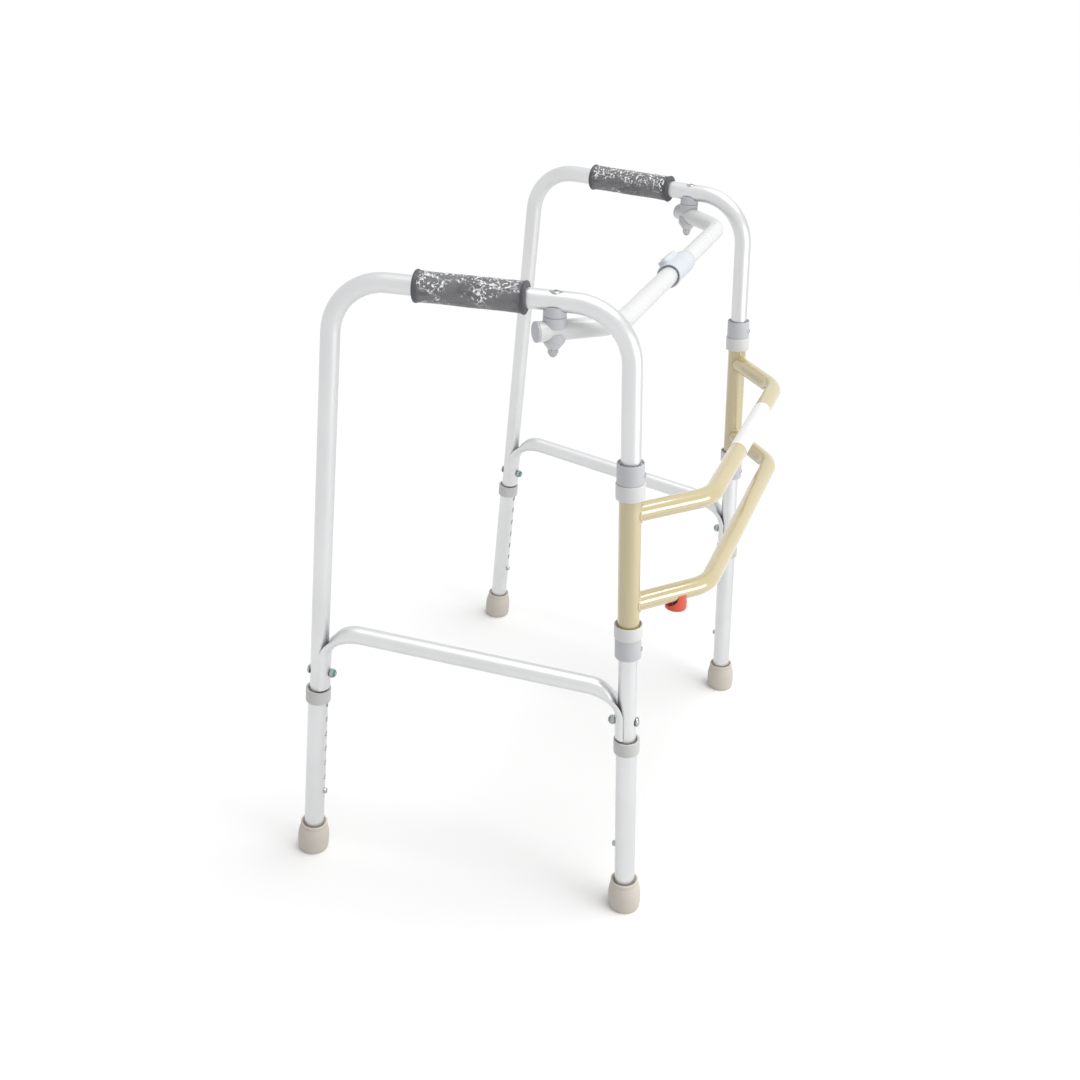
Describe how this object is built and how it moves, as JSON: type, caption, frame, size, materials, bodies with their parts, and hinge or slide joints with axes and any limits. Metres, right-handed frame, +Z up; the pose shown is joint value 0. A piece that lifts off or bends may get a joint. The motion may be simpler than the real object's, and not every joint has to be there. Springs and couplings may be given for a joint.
{
  "type": "walker",
  "caption": "Folding standard walker: splayed aluminium side frames on telescoping legs, painted front frame, split swing bar with sliding coupling, hand grips, rubber feet",
  "frame": {"origin": "on the floor, under the middle of the walker's bounding box", "axes": "+X to the user's left, -Y to the walker's front (the user faces -Y), +Z up; the side frames mirror each other in the YZ plane"},
  "size_m": [0.7044, 0.4912, 0.8038],
  "materials": {
    "aluminium": "satin anodised",
    "enamel": "glossy beige enamel",
    "white_paint": "glossy off-white enamel",
    "grey_plastic": "moulded, slightly satin",
    "pale_plastic": "moulded, smooth",
    "foot_rubber": "matte grey-brown rubber",
    "grip_vinyl": "dark moulded vinyl foam",
    "steel": "zinc plated",
    "red_plastic": "moulded red"
  },
  "bodies": {
    "front_frame": {"front_upper_tube": "enamel", "front_lower_tube": "enamel", "left_sleeve": "enamel", "right_sleeve": "enamel", "left_upper_cap": "grey_plastic", "left_lower_cap": "grey_plastic", "right_upper_cap": "grey_plastic", "right_lower_cap": "grey_plastic", "red_button_spring": "steel"},
    "coupling": {"coupling": "pale_plastic"},
    "coupling_thumb": {"coupling_button": "pale_plastic"},
    "red_release": {"red_button": "red_plastic"},
    "left_side": {"left_side_tube": "aluminium", "left_grip": "grip_vinyl", "left_brace": "aluminium", "left_upper_ring": "grey_plastic", "left_lower_ring": "grey_plastic", "left_pivot_bolt": "steel", "left_rail_saddle": "grey_plastic", "left_acorn_nut": "steel", "left_front_brace_bolt": "steel", "left_front_brace_nut": "steel", "left_rear_brace_bolt": "steel", "left_rear_brace_nut": "steel"},
    "left_front_lower": {"left_front_lower_leg": "aluminium", "left_front_collar": "grey_plastic", "left_front_foot": "foot_rubber"},
    "left_rear_lower": {"left_rear_lower_leg": "aluminium", "left_rear_collar": "grey_plastic", "left_rear_foot": "foot_rubber"},
    "left_front_snap": {"left_front_snap_button": "steel"},
    "left_rear_snap": {"left_rear_snap_button": "steel"},
    "left_bar": {"left_bar_half": "white_paint", "left_bar_plug": "grey_plastic", "left_bar_saddle": "grey_plastic", "left_lower_saddle": "grey_plastic"},
    "right_side": {"right_side_tube": "aluminium", "right_grip": "grip_vinyl", "right_brace": "aluminium", "right_upper_ring": "grey_plastic", "right_lower_ring": "grey_plastic", "right_pivot_bolt": "steel", "right_rail_saddle": "grey_plastic", "right_acorn_nut": "steel", "right_front_brace_bolt": "steel", "right_front_brace_nut": "steel", "right_rear_brace_bolt": "steel", "right_rear_brace_nut": "steel"},
    "right_front_lower": {"right_front_lower_leg": "aluminium", "right_front_collar": "grey_plastic", "right_front_foot": "foot_rubber"},
    "right_rear_lower": {"right_rear_lower_leg": "aluminium", "right_rear_collar": "grey_plastic", "right_rear_foot": "foot_rubber"},
    "right_front_snap": {"right_front_snap_button": "steel"},
    "right_rear_snap": {"right_rear_snap_button": "steel"},
    "right_bar": {"right_bar_half": "white_paint", "right_bar_plug": "grey_plastic", "right_bar_saddle": "grey_plastic", "right_lower_saddle": "grey_plastic"}
  },
  "joints": [
    {"name": "left_fold", "type": "hinge", "parent": "front_frame", "child": "left_side", "pos_m": [0.272, -0.19222, 0], "axis": [0, 0.0663, 0.9978], "range_deg": [0, 97]},
    {"name": "right_fold", "type": "hinge", "parent": "front_frame", "child": "right_side", "pos_m": [-0.272, -0.19222, 0], "axis": [0, -0.0663, -0.9978], "range_deg": [0, 76]},
    {"name": "left_bar_swing", "type": "hinge", "parent": "left_side", "child": "left_bar", "pos_m": [0.28355, -0.05976, 0.7696], "axis": [0, 0, -1], "range_deg": [0, 98]},
    {"name": "right_bar_swing", "type": "hinge", "parent": "right_side", "child": "right_bar", "pos_m": [-0.28355, -0.05976, 0.7696], "axis": [0, 0, 1], "range_deg": [0, 105]},
    {"name": "coupling_slide", "type": "slide", "parent": "left_bar", "child": "coupling", "axis": [1, 0, 0], "range_m": [0, 0.032]},
    {"name": "coupling_press", "type": "slide", "parent": "coupling", "child": "coupling_thumb", "axis": [0, -0.7071, -0.7071], "range_m": [0, 0.002], "stiffness_N_per_m": 600, "springref_m": -0.002},
    {"name": "red_press", "type": "slide", "parent": "front_frame", "child": "red_release", "axis": [0, 0, 1], "range_m": [0, 0.004], "stiffness_N_per_m": 500, "springref_m": -0.004, "deforming": ["red_button_spring"]},
    {"name": "left_front_height", "type": "slide", "parent": "left_side", "child": "left_front_lower", "axis": [0, -0.0663, -0.9978], "range_m": [0, 0.138]},
    {"name": "left_front_press", "type": "slide", "parent": "left_side", "child": "left_front_snap", "axis": [-0.1426, -0.9876, 0.0656], "range_m": [0, 0.005], "stiffness_N_per_m": 800, "springref_m": -0.004},
    {"name": "left_rear_height", "type": "slide", "parent": "left_side", "child": "left_rear_lower", "axis": [0.0177, 0.0566, -0.9982], "range_m": [0, 0.138]},
    {"name": "left_rear_press", "type": "slide", "parent": "left_side", "child": "left_rear_snap", "axis": [0.1415, 0.9882, 0.0586], "range_m": [0, 0.005], "stiffness_N_per_m": 800, "springref_m": -0.004},
    {"name": "right_front_height", "type": "slide", "parent": "right_side", "child": "right_front_lower", "axis": [0, -0.0663, -0.9978], "range_m": [0, 0.138]},
    {"name": "right_front_press", "type": "slide", "parent": "right_side", "child": "right_front_snap", "axis": [0.1426, -0.9876, 0.0656], "range_m": [0, 0.005], "stiffness_N_per_m": 800, "springref_m": -0.004},
    {"name": "right_rear_height", "type": "slide", "parent": "right_side", "child": "right_rear_lower", "axis": [-0.0177, 0.0566, -0.9982], "range_m": [0, 0.138]},
    {"name": "right_rear_press", "type": "slide", "parent": "right_side", "child": "right_rear_snap", "axis": [-0.1415, 0.9882, 0.0586], "range_m": [0, 0.005], "stiffness_N_per_m": 800, "springref_m": -0.004}
  ],
  "couplings": [
    {"joint": "left_bar_swing", "follows": "right_fold", "ratio": 1.2894},
    {"joint": "right_bar_swing", "follows": "left_fold", "ratio": 1.0824}
  ]
}
